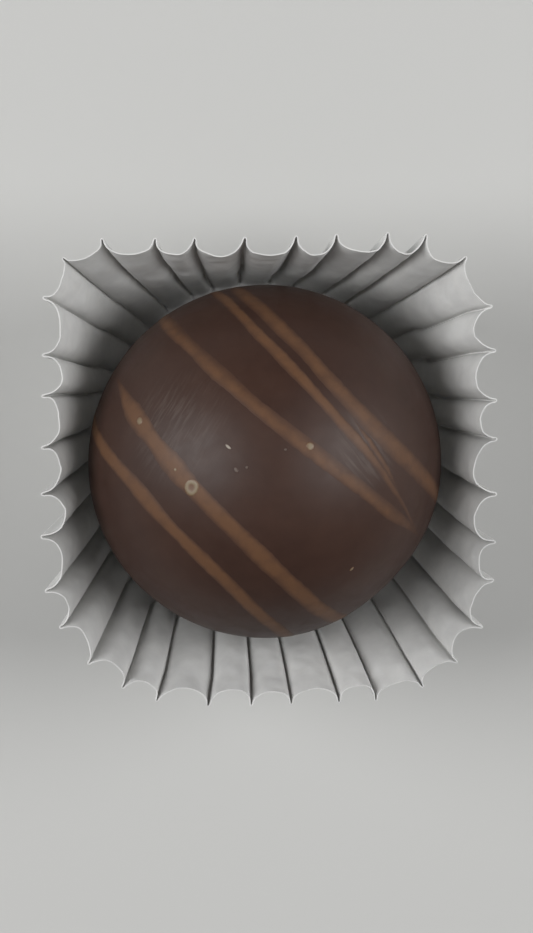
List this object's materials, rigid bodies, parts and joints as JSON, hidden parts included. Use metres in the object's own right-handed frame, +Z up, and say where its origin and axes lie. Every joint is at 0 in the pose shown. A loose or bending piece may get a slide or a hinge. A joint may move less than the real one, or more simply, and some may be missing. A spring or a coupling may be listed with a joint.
{
  "type": "chocolate truffle in a paper case",
  "caption": "Round milk chocolate truffle with thin caramel-coloured drizzle stripes, sitting in a white fluted paper case squared at the mouth.",
  "frame": {"origin": "on the surface that the case stands on, under the middle of the case's mouth", "axes": "+Z up; +Y along the longer side of the squared mouth; +X along the shorter side"},
  "size_m": [0.035, 0.0368, 0.0272],
  "materials": {
    "chocolate": null,
    "drizzle": "thin piped stripes of caramel-coloured chocolate, satin",
    "white_paper": "thin white glassine-like baking paper, pleated, matt with a faint translucency"
  },
  "bodies": {
    "root": {"truffle": "chocolate", "paper_case": "white_paper"}
  },
  "joints": []
}
